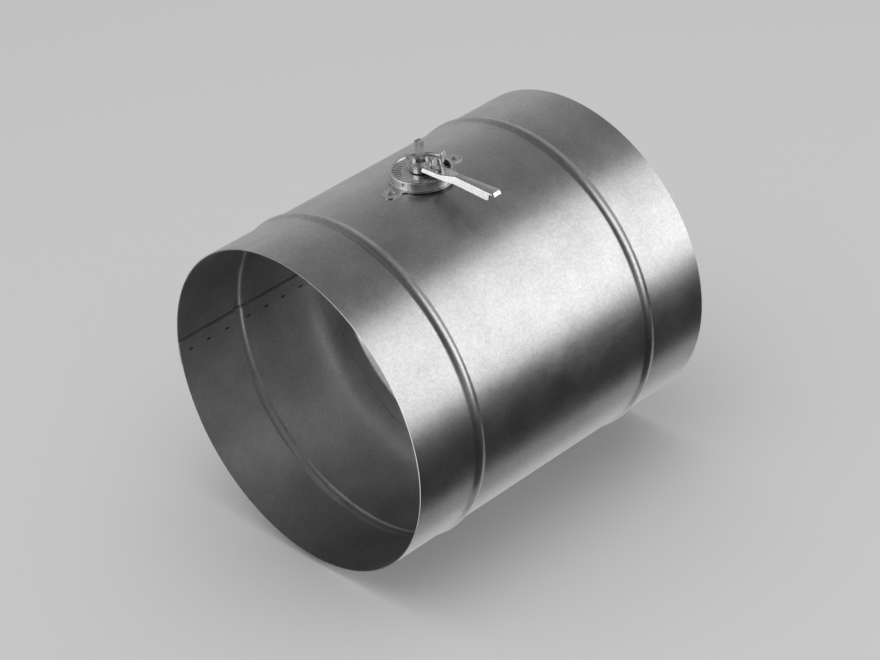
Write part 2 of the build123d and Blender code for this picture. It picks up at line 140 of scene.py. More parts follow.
class DialLook(bpy.types.PropertyGroup):
    """Raised marks pressed into the quadrant's dial."""

    count: IntProperty(name="Marks", description="Marks over the quarter turn", default=10)
    inner: size("Inner end", "Radius at which a mark starts", 18.8)
    outer: size("Outer end", "Radius at which a mark ends", 24.8)
    width: size("Width", "Width of a mark at its foot", 2.2)
    height: size("Height", "Height of a mark over the dial", 0.45)
    rib_radius: size("Rib radius", "Radius of the curved rib on the near side of the dial", 20.5)


class LeverLook(bpy.types.PropertyGroup):
    """Crown of the lever's web."""

    crown: size("Crown", "How much lower the web's sides lie than its middle", 0.6)
    crown_start: size("Start", "Where the crown starts, from the shaft", 33.0)
    crown_run: size("Run", "Length over which the crown grows", 12.0)
    grip_half: size("Half width", "Half width of the grip", 5.3)


class LockLook(bpy.types.PropertyGroup):
    """Cast wing nut and the thread of the locking screw."""

    turn: slant("Turn", "How the wings stand, from +X", 15)
    span: size("Span", "From tip to tip of the wings", 27.0)
    wing_height: size("Wing height", "Top of the wings over the nut's foot", 13.3)
    wing_thickness: size("Wing thickness", "Thickness of a wing", 2.3)
    foot: size("Foot radius", "Radius of the barrel at its foot", 4.4)
    top: size("Top radius", "Radius of the barrel at its top", 3.9)
    barrel_height: size("Barrel height", "Height of the barrel", 5.2)
    pitch: size("Pitch", "Rise of the screw's thread in one turn", 0.8)
    depth: size("Depth", "Depth of the thread", 0.45)


class StudioLook(bpy.types.PropertyGroup):
    """Floor, backdrop and lamps."""

    floor: colour("Floor", "Colour of the floor and the backdrop", "#D5D5D5")
    overhead: colour("Overhead", "Colour of the studio above the object", "#595959")
    room: colour("Room", "Colour of the studio behind the camera", "#4A4A4A")
    fill: FloatProperty(name="Fill", description="Even light on matt surfaces, 1 is white",
                        default=0.74)
    card: FloatProperty(name="Card", description="How brightly the white card by the inlet is lit",
                        default=5.0)
    above: power("Light above", "Soft light above, for matt surfaces", 16.0)
    key: power("Key light", "Large soft light at the right", 9.1)
    low: power("Low light", "Low soft light behind the inlet", 4.6)
    left: power("Left light", "High soft light at the left", 2.8)


LOOKS = {
    "damper_sheet": SheetLook,
    "damper_seam": SeamLook,
    "damper_dial": DialLook,
    "damper_lever": LeverLook,
    "damper_lock": LockLook,
    "damper_studio": StudioLook,
}


# Materials


def add_node(tree, kind, settings=None, links=None):
    """Adds one node. Settings are properties or input values, and links join sockets to inputs."""
    node = tree.nodes.new(kind)
    for name, value in (settings or {}).items():
        if isinstance(name, str) and hasattr(node, name):
            setattr(node, name, value)
        else:
            node.inputs[name].default_value = value
    for name, socket in (links or {}).items():
        tree.links.new(socket, node.inputs[name])
    return node


def new_material(name):
    """An empty node material and its tree."""
    material = bpy.data.materials.new(name)
    material.use_nodes = True
    material.node_tree.nodes.clear()
    return material, material.node_tree


def metal(name, dark, light, rough, crystal, cloud, tooth, tooth_depth, wave_depth=0.0,
          stretch=(1.0, 1.0, 1.0), edge=None):
    """Bare or plated metal, sizes in metres.

    Crystals and clouds shift its tone and gloss, a fine tooth and slow waves move its surface,
    and edge is the colour of sheared edges that face along the duct. The tooth is drawn several
    times as coarse as the real grain, which is too fine to show.
    """
    crystal_in_tone = 0.30
    crystal_in_gloss = 0.5
    wave = 90 * MM
    material, tree = new_material(name)
    place = add_node(tree, "ShaderNodeTexCoord").outputs["Object"]
    drawn = add_node(tree, "ShaderNodeMapping", {"Scale": stretch}, {"Vector": place})
    drawn = drawn.outputs["Vector"]
    crystals = add_node(tree, "ShaderNodeTexVoronoi", {"Scale": 1.0 / crystal}, {"Vector": drawn})
    pick = add_node(tree, "ShaderNodeSeparateColor", links={"Color": crystals.outputs["Color"]})
    clouds = add_node(tree, "ShaderNodeTexNoise",
                      {"Scale": 1.0 / cloud, "Detail": 5.0, "Roughness": 0.6}, {"Vector": drawn})
    shade = add_node(tree, "ShaderNodeMath", {"operation": "MULTIPLY_ADD", 1: crystal_in_tone},
                     {0: pick.outputs["Red"], 2: clouds.outputs["Fac"]})
    factor = add_node(tree, "ShaderNodeMapRange", {"From Min": 0.35, "From Max": 1.0},
                      {"Value": shade.outputs[0]})
    tone = add_node(tree, "ShaderNodeMix", {"data_type": "RGBA", 6: dark, 7: light},
                    {0: factor.outputs["Result"]}).outputs[2]
    if edge:
        geometry = add_node(tree, "ShaderNodeNewGeometry")
        facing = add_node(tree, "ShaderNodeSeparateXYZ",
                          links={"Vector": geometry.outputs["True Normal"]})
        along = add_node(tree, "ShaderNodeMath", {"operation": "ABSOLUTE"},
                         {0: facing.outputs["X"]})
        sheared = add_node(tree, "ShaderNodeMapRange", {"From Min": 0.90, "From Max": 0.99},
                           {"Value": along.outputs[0]})
        tone = add_node(tree, "ShaderNodeMix", {"data_type": "RGBA", 7: edge},
                        {0: sheared.outputs["Result"], 6: tone}).outputs[2]
    mottle = add_node(tree, "ShaderNodeMath", {"operation": "MULTIPLY_ADD", 1: crystal_in_gloss},
                      {0: pick.outputs["Green"], 2: clouds.outputs["Fac"]})
    gloss = add_node(tree, "ShaderNodeMapRange",
                     {"From Min": 0.25, "From Max": 1.15, "To Min": rough[0], "To Max": rough[1]},
                     {"Value": mottle.outputs[0]})
    grain = add_node(tree, "ShaderNodeTexNoise", {"Scale": 1.0 / tooth, "Detail": 2.0},
                     {"Vector": drawn})
    surface = add_node(tree, "ShaderNodeBump", {"Distance": tooth_depth},
                       {"Height": grain.outputs["Fac"]})
    if wave_depth:
        waves = add_node(tree, "ShaderNodeTexNoise", {"Scale": 1.0 / wave, "Detail": 1.0},
                         {"Vector": place})
        surface = add_node(tree, "ShaderNodeBump", {"Distance": wave_depth},
                           {"Height": waves.outputs["Fac"], "Normal": surface.outputs["Normal"]})
    shader = add_node(tree, "ShaderNodeBsdfPrincipled", {"Metallic": 1.0},
                      {"Base Color": tone, "Roughness": gloss.outputs["Result"],
                       "Normal": surface.outputs["Normal"]})
    add_node(tree, "ShaderNodeOutputMaterial", links={"Surface": shader.outputs["BSDF"]})
    return material


def scorched_zinc(burn):
    """Zinc burnt by a welding electrode: matt, nearly black, with a rough crust of uneven tone.
    The line of painted shade along the lap's edge wears it too.
    """
    ash = linear("#5B5856")
    crumb = 0.6 * MM
    material, tree = new_material("weld_scorch_and_painted_shade")
    place = add_node(tree, "ShaderNodeTexCoord").outputs["Object"]
    crust = add_node(tree, "ShaderNodeTexNoise", {"Scale": 1.0 / crumb, "Detail": 3.0},
                     {"Vector": place})
    tone = add_node(tree, "ShaderNodeMix", {"data_type": "RGBA", 6: burn, 7: ash},
                    {0: crust.outputs["Fac"]})
    surface = add_node(tree, "ShaderNodeBump", {"Distance": 0.05 * MM},
                       {"Height": crust.outputs["Fac"]})
    shader = add_node(tree, "ShaderNodeBsdfPrincipled", {"Metallic": 0.3, "Roughness": 0.6},
                      {"Base Color": tone.outputs[2], "Normal": surface.outputs["Normal"]})
    add_node(tree, "ShaderNodeOutputMaterial", links={"Surface": shader.outputs["BSDF"]})
    return material


def moulded_nylon():
    """Injection-moulded grey nylon: satin, slightly uneven, with the spark texture of its mould.

    The texture is drawn several times as coarse as the real one, which is too fine to show.
    """
    flow_width = 6 * MM
    spark_width = 0.4 * MM
    material, tree = new_material("moulded_grey_nylon")
    place = add_node(tree, "ShaderNodeTexCoord").outputs["Object"]
    flow = add_node(tree, "ShaderNodeTexNoise", {"Scale": 1.0 / flow_width, "Detail": 2.0},
                    {"Vector": place})
    tone = add_node(tree, "ShaderNodeMix",
                    {"data_type": "RGBA", 6: linear("#8C8E90"), 7: linear("#9FA1A2")},
                    {0: flow.outputs["Fac"]})
    gloss = add_node(tree, "ShaderNodeMapRange", {"To Min": 0.38, "To Max": 0.52},
                     {"Value": flow.outputs["Fac"]})
    spark = add_node(tree, "ShaderNodeTexNoise", {"Scale": 1.0 / spark_width, "Detail": 1.0},
                     {"Vector": place})
    surface = add_node(tree, "ShaderNodeBump", {"Distance": 0.01 * MM},
                       {"Height": spark.outputs["Fac"]})
    shader = add_node(tree, "ShaderNodeBsdfPrincipled", {"IOR": 1.53},
                      {"Base Color": tone.outputs[2], "Roughness": gloss.outputs["Result"],
                       "Normal": surface.outputs["Normal"]})
    add_node(tree, "ShaderNodeOutputMaterial", links={"Surface": shader.outputs["BSDF"]})
    return material


def pressed_zinc():
    """Pressed steel, electroplated: lighter and glossier than the casing, softly clouded."""
    return metal("zinc_plated_pressed_steel", linear("#B6B6B6"), linear("#DBDBDB"), (0.20, 0.30),
                 crystal=1.2 * MM, cloud=9 * MM, tooth=0.7 * MM, tooth_depth=0.008 * MM)


def turned_zinc():
    """Turned steel, electroplated: small bright highlights and a fine lathe grain."""
    return metal("zinc_plated_turned_steel", linear("#AEAEAE"), linear("#DADADA"), (0.16, 0.26),
                 crystal=0.8 * MM, cloud=4 * MM, tooth=0.4 * MM, tooth_depth=0.006 * MM)


def cast_zinc():
    """Die-cast zinc, bright and slightly uneven, with soft highlights."""
    return metal("die_cast_zinc", linear("#B3B3B3"), linear("#DCDCDC"), (0.20, 0.32),
                 crystal=0.9 * MM, cloud=5 * MM, tooth=0.6 * MM, tooth_depth=0.012 * MM)


def drawn_steel():
    """Cold-drawn square bar: darker than zinc and streaked along its length."""
    return metal("cold_drawn_steel_bar", linear("#909090"), linear("#BCBCBC"), (0.20, 0.30),
                 crystal=0.8 * MM, cloud=5 * MM, tooth=0.4 * MM, tooth_depth=0.008 * MM,
                 stretch=(1.0, 1.0, 0.08))


def rivet_aluminium():
    """Rivet headed from drawn aluminium: pale and satin, softer than the zinc round it."""
    return metal("drawn_aluminium_rivet", linear("#B6B6B6"), linear("#DDDDDD"), (0.28, 0.36),
                 crystal=0.8 * MM, cloud=3 * MM, tooth=0.4 * MM, tooth_depth=0.006 * MM)


# Pieces


def dress(material, *nodes):
    """Gives CAD nodes their finish."""
    for node in nodes:
        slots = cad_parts[node].data.materials
        slots.clear()
        slots.append(material)


def new_piece(name, mesh_builder, material, body, sharp=40):
    """A piece from a bmesh, smooth up to its sharp angle in degrees, riding on a CAD body."""
    bmesh.ops.recalc_face_normals(mesh_builder, faces=mesh_builder.faces)
    mesh = bpy.data.meshes.new(name)
    mesh_builder.to_mesh(mesh)
    mesh_builder.free()
    mesh.materials.append(material)
    piece = bpy.data.objects.new(name, mesh)
    bpy.context.scene.collection.objects.link(piece)
    mesh.shade_smooth()
    mesh.set_sharp_from_angle(angle=math.radians(sharp))
    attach(piece, body)
    return piece


def surface_of(context, node):
    """A CAD node as rays can meet it."""
    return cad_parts[node].evaluated_get(context.evaluated_depsgraph_get())


def first_hit(surface, start, toward):
    """The point where a line from start meets a surface."""
    hit, place, _, _ = surface.ray_cast(start, toward)
    if not hit:
        raise RuntimeError(f"a line found no {surface.name}")
    return place


def tube(mesh_builder, rows):
    """Skins closed rows of points, each with the next."""
    for a, b in zip(rows, rows[1:]):
        for i in range(len(a)):
            j = (i + 1) % len(a)
            mesh_builder.faces.new((a[i], a[j], b[j], b[i]))


def turned(mesh_builder, outline, steps):
    """Turns a closed outline of (radius, height) about Z."""
    rows = []
    for radius, height in outline:
        rows.append([mesh_builder.verts.new((radius * math.cos(FULL_TURN * i / steps),
                                             radius * math.sin(FULL_TURN * i / steps), height))
                     for i in range(steps)])
    tube(mesh_builder, rows + rows[:1])


def closed_rings(mesh_builder, rings, base):
    """Skins rings of points from a tip point outwards and closes them with a base point."""
    tip, *loops = rings
    tip = mesh_builder.verts.new(tip)
    loops = [[mesh_builder.verts.new(p) for p in loop] for loop in loops]
    base = mesh_builder.verts.new(base)
    for i in range(len(loops[0])):
        j = (i + 1) % len(loops[0])
        mesh_builder.faces.new((tip, loops[0][i], loops[0][j]))
        for a, b in zip(loops, loops[1:]):
            mesh_builder.faces.new((a[i], b[i], b[j], a[j]))
        mesh_builder.faces.new((loops[-1][i], base, loops[-1][j]))


def melted(mesh_builder, grain):
    """Overlapping solids as one closed skin with slightly softened corners."""
    mesh = bpy.data.meshes.new("casting")
    bmesh.ops.recalc_face_normals(mesh_builder, faces=mesh_builder.faces)
    mesh_builder.to_mesh(mesh)
    mesh_builder.free()
    blank = bpy.data.objects.new("casting", mesh)
    bpy.context.scene.collection.objects.link(blank)
    remesh = blank.modifiers.new("melt", "REMESH")
    remesh.mode = "VOXEL"
    remesh.voxel_size = grain
    skin = bmesh.new()
    skin.from_object(blank, bpy.context.evaluated_depsgraph_get())
    bpy.data.objects.remove(blank)
    bpy.data.meshes.remove(mesh)
    smoothing_passes = 3
    for _ in range(smoothing_passes):
        bmesh.ops.smooth_vert(skin, verts=skin.verts, factor=0.5,
                              use_axis_x=True, use_axis_y=True, use_axis_z=True)
    return skin


class DAMPER_OT_casing(bpy.types.Operator):
    """Casing and blade in continuously galvanised steel sheet"""

    bl_idname = "damper.casing"
    bl_label = "Galvanised sheet"

    def execute(self, context):
        look = context.scene.damper_sheet
        grain = {"crystal": look.crystal, "cloud": look.cloud, "tooth": 0.9 * MM,
                 "tooth_depth": 0.02 * MM, "wave_depth": 0.25 * MM}
        # Continuously galvanised sheet: a dull grey with a fine sandy crystal grain, slow clouds
        # and a broad soft highlight. Its sheared rims are bare steel. The crystals are drawn two
        # to three times as coarse as the smallest real ones, so that they show.
        sheet = metal("galvanised_steel_sheet", look.dark[:], look.light[:], (0.28, 0.38),
                      edge=linear("#7E7E7E"), **grain)
        dress(sheet, "casing")
        # The blade is of the same sheet, a little glossier, with its tone painted darker as shade
        # for the dim inside of the duct.
        shaded_blade_sheet = metal("galvanised_blade_sheet_painted_shade", linear("#9C9C9C"), linear("#C0C0C0"), (0.26, 0.36),
                     **grain)
        blade = new_piece("pressed_blade", self.blade(look), shaded_blade_sheet, BLADE_BODY)
        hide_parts("blade")
        return {"FINISHED"}

    @staticmethod
    def blade(look):
        """The CAD blade with its swage nearer the shaft and its rim nearer the casing."""
        shape = bmesh.new()
        shape.from_mesh(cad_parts["blade"].data)
        rim = max(math.hypot(v.co.y, v.co.z) for v in shape.verts)
        # Radii in the CAD: the middle stays up to the first, and the swage lies between the others
        flat, swage_start, swage_end = rim - 50 * MM, rim - 39 * MM, rim - 12 * MM
        bends = ((0.0, 0.0), (flat, flat), (swage_start, swage_start - look.swage_shift),
                 (swage_end, swage_end - look.swage_shift), (rim, rim + look.rim_growth))
        rounding_error = 1.0001
        for v in shape.verts:
            radius = math.hypot(v.co.y, v.co.z)
            for (a, to_a), (b, to_b) in zip(bends, bends[1:]):
                if a < radius <= b * rounding_error:
                    grown = (to_a + (to_b - to_a) * (radius - a) / (b - a)) / radius
                    v.co.y, v.co.z = v.co.y * grown, v.co.z * grown
                    break
        return shape


class DAMPER_OT_seam_welds(bpy.types.Operator):
    """Scorched spots along the seam, inside and outside, and a dark line of painted shade along
    its lap
    """

    bl_idname = "damper.seam_welds"
    bl_label = "Seam weld marks"

    def execute(self, context):
        look = context.scene.damper_seam
        casing = surface_of(context, "casing")
        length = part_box("casing")[1].x
        spigot = [look.edge + look.pitch * i for i in range(look.spigot_count)]
        step = (length - 2 * look.middle_start) / (look.middle_count - 1)
        middle = [look.middle_start + step * i for i in range(look.middle_count)]
        random.seed(7)
        marks = bmesh.new()
        for x in spigot + middle + [length - x for x in spigot]:
            for outside in (False, True):
                self.scorch(marks, casing, look, x, outside)
        # A near-black strip along the lap's edge: painted shade for the dark gap of the lap.
        painted_shade_line = self.lap_edge(casing, look, length)
        # This material is real burn on the weld spots and painted shade on the lap's line.
        scorch_and_shade = scorched_zinc(look.burn[:])
        new_piece("seam_weld_marks", marks, scorch_and_shade, CASING_BODY)
        new_piece("lap_edge_painted_shade", painted_shade_line, scorch_and_shade, CASING_BODY)
        return {"FINISHED"}

    @staticmethod
    def lap_edge(casing, look, length):
        """A near-black strip of painted shade in the corner where the inner sheet of the lap ends,
        from end to end.
        """
        step, lift, depth = 1.5 * MM, 0.06 * MM, 0.2 * MM
        narrow, wide = 0.7, 1.1
        inner_skin = 156 * MM
        line = bmesh.new()
        rows = []
        stations = int(length / step)
        for k in range(1, stations):
            start = Vector((length * k / stations, 0, 0))
            row = []
            for shift in (0, look.painted_shade_line * random.uniform(narrow, wide)):
                turn = look.lap_edge + shift / inner_skin
                outward = Vector((0, math.cos(turn), math.sin(turn)))
                place = first_hit(casing, start, outward)
                row += [place - outward * lift, place + outward * depth]
            corners_in_order = (0, 2, 3, 1)
            rows.append([line.verts.new(row[i]) for i in corners_in_order])
        tube(line, rows)
        line.faces.new(rows[0])
        line.faces.new(rows[-1])
        return line

    @staticmethod
    def scorch(marks, casing, look, x, outside):
        """A spot: a thin uneven crust that follows the electrode's pit and ends under the skin."""
        points = 18
        uneven, stray = 0.28, 0.5
        outer_skin, clear_of_casing = 157 * MM, 300 * MM
        stretch = [1 + random.uniform(-uneven, uneven) for _ in range(points)]
        shift = random.uniform(-stray, stray) * MM
        # Each ring's share of the spot's size, and its lift off the skin
        middle, root = 0.05 * MM, -0.15 * MM
        fades = ((0.45, 0.04 * MM), (0.85, 0.03 * MM), (1.0, -0.06 * MM))

        def on_skin(share, i, lift):
            """A point of the spot on the casing, lifted towards the side that it is seen from."""
            turn = FULL_TURN * i / points
            along = x + shift + share * stretch[i] * look.length / 2 * math.cos(turn)
            across = share * stretch[i] * look.width / 2 * math.sin(turn)
            round_duct = look.angle + across / outer_skin
            outward = Vector((0, math.cos(round_duct), math.sin(round_duct)))
            start = Vector((along, 0, 0))
            if outside:
                start += outward * clear_of_casing
            place = first_hit(casing, start, -outward if outside else outward)
            return place + outward * (lift if outside else -lift)

        rings = [on_skin(0.0, 0, middle)]
        rings += [[on_skin(share, i, lift) for i in range(points)] for share, lift in fades]
        closed_rings(marks, rings, on_skin(0.0, 0, root))


class DAMPER_OT_quadrant(bpy.types.Operator):
    """Pressed dial with its raised marks, its rivets and the bearings"""

    bl_idname = "damper.quadrant"
    bl_label = "Quadrant"

    def execute(self, context):
        look = context.scene.damper_dial
        zinc = pressed_zinc()
        dress(zinc, "quadrant_dish", "upper_bearing", "lower_bearing")
        dress(rivet_aluminium(), "quadrant_rivets")
        low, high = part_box("blade_shaft")
        centre = (low + high) / 2
        start = Vector((centre.x - look.rib_radius, 0, high.z))
        face = first_hit(surface_of(context, "quadrant_dish"), start, Vector((0, 0, -1)))
        dial = Vector((centre.x, 0, face.z))
        # In degrees from +X: the marks over the quarter from far side to inlet, and the rib's line
        turns = [90 + 90 * i / (look.count - 1) for i in range(look.count)]
        rib_turns = range(203, 251, 4)
        marks = bmesh.new()
        for turn in turns:
            outward = self.outward(turn)
            self.ridge(marks, dial, [outward * look.inner, outward * look.outer], look)
        rib = [self.outward(turn) * look.rib_radius for turn in rib_turns]
        self.ridge(marks, dial, rib, look)
        new_piece("dial_marks", marks, zinc, CASING_BODY)
        return {"FINISHED"}

    @staticmethod
    def outward(degrees):
        """The direction from the shaft over the dial at an angle from +X."""
        turn = math.radians(degrees)
        return Vector((math.cos(turn), math.sin(turn), 0))

    @staticmethod
    def ridge(marks, dial, line, look):
        """A low rounded ridge along a line on the dial, its ends round and its foot buried."""
        foot = -0.05 * MM
        steps = 8
        cap_steps, blunt = 4, 0.3
        half = look.width / 2

        def cap(end, side):
            """Points, shares of the full size and directions of a round end, from its tip."""
            away = (line[end] - line[end - side]).normalized()
            leans = [math.pi / 2 * (k + blunt) / (cap_steps + blunt) for k in range(cap_steps)]
            return [(line[end] + away * half * math.cos(lean), math.sin(lean), away * side)
                    for lean in leans]

        stations = cap(0, -1)
        stations += [(a, 1.0, (b - a).normalized()) for a, b in zip(line, line[1:])]
        stations.append((line[-1], 1.0, (line[-1] - line[-2]).normalized()))
        stations += cap(-1, 1)[::-1]
        rows = []
        for point, share, ahead in stations:
            across = Vector((-ahead.y, ahead.x, 0))
            row = []
            for k in range(steps + 1):
                v = -1 + 2 * k / steps
                rise = foot + (look.height - foot) * share * math.sqrt(max(0.0, 1 - v * v))
                row.append(marks.verts.new(dial + point + across * half * share * v
                                           + Vector((0, 0, rise))))
            rows.append(row)
        for a, b in zip(rows, rows[1:]):
            for k in range(steps):
                marks.faces.new((a[k], a[k + 1], b[k + 1], b[k]))
            marks.faces.new((a[0], b[0], b[steps], a[steps]))
        marks.faces.new(rows[0])
        marks.faces.new(rows[-1])


class DAMPER_OT_shaft(bpy.types.Operator):
    """Square shaft with its bushes, clip, saddles and rivets"""

    bl_idname = "damper.shaft"
    bl_label = "Shaft and saddles"

    def execute(self, context):
        dress(drawn_steel(), "blade_shaft")
        dress(moulded_nylon(), "upper_shaft_bush", "lower_shaft_bush")
        dress(pressed_zinc(), "shaft_clip", "upper_saddle", "middle_saddle", "lower_saddle")
        dress(rivet_aluminium(), "upper_saddle_rivets", "middle_saddle_rivets",
              "lower_saddle_rivets")
        return {"FINISHED"}


class DAMPER_OT_lever(bpy.types.Operator):
    """Pressed lever with its hub and set screw"""

    bl_idname = "damper.lever"
    bl_label = "Lever"

    def execute(self, context):
        look = context.scene.damper_lever
        lever = new_piece("pressed_lever", self.crowned(look), pressed_zinc(), BLADE_BODY,
                          sharp=26)
        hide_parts("lever")
        dress(turned_zinc(), "lever_hub", "lever_set_screw")
        return {"FINISHED"}

    @staticmethod
    def crowned(look):
        """The CAD lever with the web of its grip crowned by the press, higher along its middle."""
        same_point, long_edge = 0.001 * MM, 1.5 * MM
        low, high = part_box("blade_shaft")
        middle = (low + high) / 2
        shape = bmesh.new()
        shape.from_mesh(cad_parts["lever"].data)
        bmesh.ops.remove_doubles(shape, verts=shape.verts, dist=same_point)
        edges = [e for e in shape.edges if e.calc_length() > long_edge]
        bmesh.ops.subdivide_edges(shape, edges=edges, cuts=7, use_grid_fill=True)
        for v in shape.verts:
            share = (middle.y - v.co.y - look.crown_start) / look.crown_run
            share = min(1.0, max(0.0, share))
            v.co.z -= look.crown * share * ((v.co.x - middle.x) / look.grip_half) ** 2
        return shape


class DAMPER_OT_lock(bpy.types.Operator):
    """Locking screw with its thread, washer and wing nut"""

    bl_idname = "damper.lock"
    bl_label = "Screw and wing nut"

    def execute(self, context):
        look = context.scene.damper_lock
        zinc = turned_zinc()
        dress(zinc, "locking_washer")
        low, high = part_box("locking_washer")
        foot = Vector(((low.x + high.x) / 2, (low.y + high.y) / 2, high.z))
        nut = new_piece("cast_wing_nut", self.wing_nut(look, foot), cast_zinc(), "nut")
        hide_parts("wing_nut")
        screw = new_piece("threaded_screw", self.screw(look, foot), zinc, BLADE_BODY)
        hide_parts("locking_screw")
        return {"FINISHED"}

    @staticmethod
    def wing_nut(look, foot):
        """Barrel with a bore and two full wings, melted to one casting with soft inner corners."""
        bore, foot_band, rounding, grain = 2.55 * MM, 0.9 * MM, 0.7 * MM, 0.22 * MM
        tip = 4.6 * MM
        # Distance from the axis, height and radius of a wing's outer end, shoulder and root
        circles = (
            (look.span / 2 - tip, look.wing_height - tip, tip),
            (4.9 * MM, look.wing_height - 2.0 * MM, 1.5 * MM),
            (4.4 * MM, 2.0 * MM, 1.2 * MM),
        )
        # A wing's face, drawn in by the rounding of its edge, and its full outline under that
        layers = ((0.5, rounding), (0.5 - rounding / look.wing_thickness, 0))
        points, barrel_points = 24, 48
        barrel = ((bore, 0), (look.foot, 0), (look.foot, foot_band),
                  (look.top, look.barrel_height), (bore, look.barrel_height))
        shape = bmesh.new()
        turned(shape, barrel, barrel_points)
        for side in (-1, 1):
            wing = []
            for reach, height, radius in circles:
                for offset, shrink in layers:
                    for i in range(points):
                        turn = FULL_TURN * i / points
                        wing.append(shape.verts.new((
                            side * (reach + (radius - shrink) * math.cos(turn)),
                            look.wing_thickness * offset,
                            height + (radius - shrink) * math.sin(turn))))
                        wing.append(shape.verts.new(wing[-1].co * Vector((1, -1, 1))))
            hull = bmesh.ops.convex_hull(shape, input=wing)
            bmesh.ops.delete(shape, geom=hull["geom_interior"], context="VERTS")
        casting = melted(shape, grain)
        bmesh.ops.transform(casting, verts=casting.verts,
                            matrix=Matrix.Translation(foot) @ Matrix.Rotation(look.turn, 4, "Z"))
        return casting

    @staticmethod
    def screw(look, foot):
        """Cheese head and shank, with a thread from the washer up to a chamfered end."""
        low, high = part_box("locking_screw")
        head, head_top, head_chamfer = (high.x - low.x) / 2, low.z + 3.0 * MM, 0.4 * MM
        radius, end_chamfer = 2.5 * MM, 1.0 * MM
        steps, rings_a_turn = 28, 8
        shank = ((head - head_chamfer, low.z), (head, low.z + head_chamfer), (head, head_top),
                 (radius, head_top), (radius, foot.z))
        rows = [[level] * steps for level in shank]
        rings = int((high.z - foot.z) / (look.pitch / rings_a_turn))
        for k in range(1, rings + 1):
            z = foot.z + (high.z - foot.z) * k / rings
            limit = min(radius, radius - end_chamfer + (high.z - z))
            row = []
            for i in range(steps):
                phase = (z / look.pitch - i / steps) % 1.0
                row.append((min(limit, radius - look.depth * abs(2 * phase - 1)), z))
            rows.append(row)
        shape = bmesh.new()
        skin = []
        for row in rows:
            skin.append([shape.verts.new((foot.x + r * math.cos(FULL_TURN * i / steps),
                                          foot.y + r * math.sin(FULL_TURN * i / steps), z))
                         for i, (r, z) in enumerate(row)])
        tube(shape, skin)
        shape.faces.new(skin[0][::-1])
        shape.faces.new(skin[-1])
        return shape


# Studio


def soft_light(name, place, aim, width, height, watts, on_metal=True):
    """A soft box that faces a point, unseen by the camera. It lights metal or matt surfaces."""
    data = bpy.data.lights.new(name, "AREA")
    data.shape = "RECTANGLE"
    data.size = width
    data.size_y = height
    data.energy = watts
    lamp = bpy.data.objects.new(name, data)
    lamp.location = place
    lamp.rotation_euler = (Vector(aim) - Vector(place)).to_track_quat("-Z", "Y").to_euler()
    lamp.visible_camera = False
    lamp.visible_glossy = on_metal
    lamp.visible_diffuse = not on_metal
    bpy.context.scene.collection.objects.link(lamp)


def flat_stage(name, material, low, high, level):
    """A level rectangle of the studio."""
    mesh = bpy.data.meshes.new(name)
    corners = [(low[0], low[1], level), (high[0], low[1], level),
               (high[0], high[1], level), (low[0], high[1], level)]
    mesh.from_pydata(corners, [], [(0, 1, 2, 3)])
    mesh.materials.append(material)
    stage = bpy.data.objects.new(name, mesh)
    bpy.context.scene.collection.objects.link(stage)
    return stage


def reflection_card(name, hex_colour, low, high, level, strength=1.0):
    """A card of one even tone on the floor. Only reflections show it, and it shades nothing."""
    material, tree = new_material(name)
    glow = add_node(tree, "ShaderNodeEmission",
                    {"Color": linear(hex_colour), "Strength": strength})
    add_node(tree, "ShaderNodeOutputMaterial", links={"Surface": glow.outputs["Emission"]})
    card = flat_stage(name, material, low, high, level + 1 * MM)
    card.visible_camera = False
    card.visible_diffuse = False
    card.visible_shadow = False
    card.visible_transmission = False


def painted_floor(floor):
    """Matt paint: one even pale tone that takes soft shadows and mirrors nothing."""
    material, tree = new_material("matt_painted_floor")
    shader = add_node(tree, "ShaderNodeBsdfPrincipled",
                      {"Base Color": floor, "Roughness": 0.9, "Specular IOR Level": 0.0})
    add_node(tree, "ShaderNodeOutputMaterial", links={"Surface": shader.outputs["BSDF"]})
    return material


def studio_world(look):
    """Even light for matt surfaces, and a studio for the camera and for reflections.

    The studio has a pale horizon, a darker top, and a dark room on the camera's side, which
    fades in between two cosines of the angle from its middle.
    """
    room_middle, room_edge, room_full = (-0.50, -0.72, 0.48), 0.58, 0.95
    world = bpy.data.worlds.new("pale_studio")
    world.use_nodes = True
    tree = world.node_tree
    tree.nodes.clear()
    sky = add_node(tree, "ShaderNodeTexCoord").outputs["Generated"]
    height = add_node(tree, "ShaderNodeSeparateXYZ", links={"Vector": sky})
    up = add_node(tree, "ShaderNodeMapRange", links={"Value": height.outputs["Z"]})
    pale = add_node(tree, "ShaderNodeMix",
                    {"data_type": "RGBA", 6: look.floor[:], 7: look.overhead[:]},
                    {0: up.outputs["Result"]})
    toward = add_node(tree, "ShaderNodeVectorMath", {"operation": "DOT_PRODUCT", 1: room_middle},
                      {0: sky})
    behind = add_node(tree, "ShaderNodeMapRange", {"From Min": room_edge, "From Max": room_full},
                      {"Value": toward.outputs["Value"]})
    backdrop = add_node(tree, "ShaderNodeMix", {"data_type": "RGBA", 7: look.room[:]},
                        {0: behind.outputs["Result"], 6: pale.outputs[2]})
    shown = add_node(tree, "ShaderNodeBackground", links={"Color": backdrop.outputs[2]})
    fill = add_node(tree, "ShaderNodeBackground",
                    {"Color": linear("#F5F5F5"), "Strength": look.fill})
    ray = add_node(tree, "ShaderNodeLightPath")
    seen = add_node(tree, "ShaderNodeMath", {"operation": "MAXIMUM"},
                    {0: ray.outputs["Is Camera Ray"], 1: ray.outputs["Is Glossy Ray"]})
    seen = add_node(tree, "ShaderNodeMath", {"operation": "MAXIMUM"},
                    {0: seen.outputs[0], 1: ray.outputs["Is Transmission Ray"]})
    either = add_node(tree, "ShaderNodeMixShader",
                      links={0: seen.outputs[0], 1: fill.outputs[0], 2: shown.outputs[0]})
    add_node(tree, "ShaderNodeOutputWorld", links={"Surface": either.outputs[0]})
    return world


